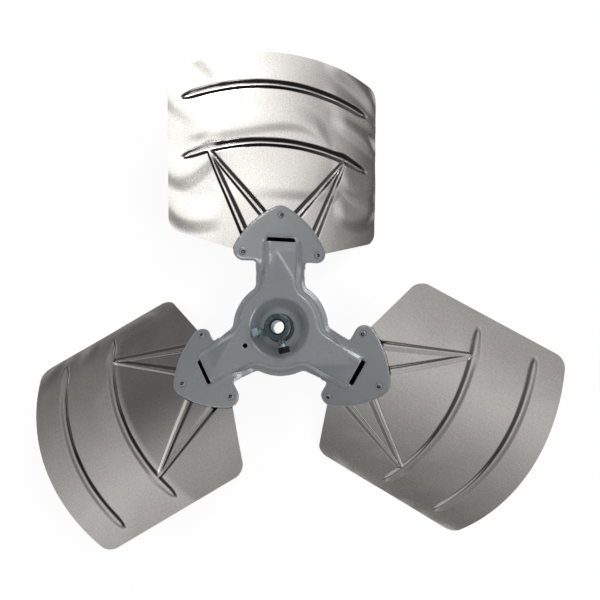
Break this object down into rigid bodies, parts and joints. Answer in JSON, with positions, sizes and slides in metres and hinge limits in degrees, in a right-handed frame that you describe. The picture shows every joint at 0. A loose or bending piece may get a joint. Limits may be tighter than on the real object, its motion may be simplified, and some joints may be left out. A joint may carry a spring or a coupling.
{
  "type": "axial fan impeller",
  "caption": "Axial fan impeller with pitched, ribbed sheet-metal blades riveted to a pressed steel spider, and a bored hub with set screws.",
  "frame": {"origin": "on the bore axis, level with the underside of the spider's flange", "axes": "+Z along the bore axis, towards the hub's set screws; +Y along the first blade; +X completes a right-handed frame"},
  "size_m": [0.5377, 0.4953, 0.1047],
  "materials": {
    "spider_paint": "satin grey paint",
    "blade_metal": "rolled mill finish",
    "hub_zinc": "blue zinc plate",
    "rivet_metal": "plain",
    "screw_zinc": "bright zinc plate"
  },
  "bodies": {
    "root": {"spider": "spider_paint", "hub": "hub_zinc", "set_screws": "screw_zinc", "blade_1": "blade_metal", "blade_1_rivets": "rivet_metal", "blade_2": "blade_metal", "blade_2_rivets": "rivet_metal", "blade_3": "blade_metal", "blade_3_rivets": "rivet_metal"}
  },
  "joints": []
}
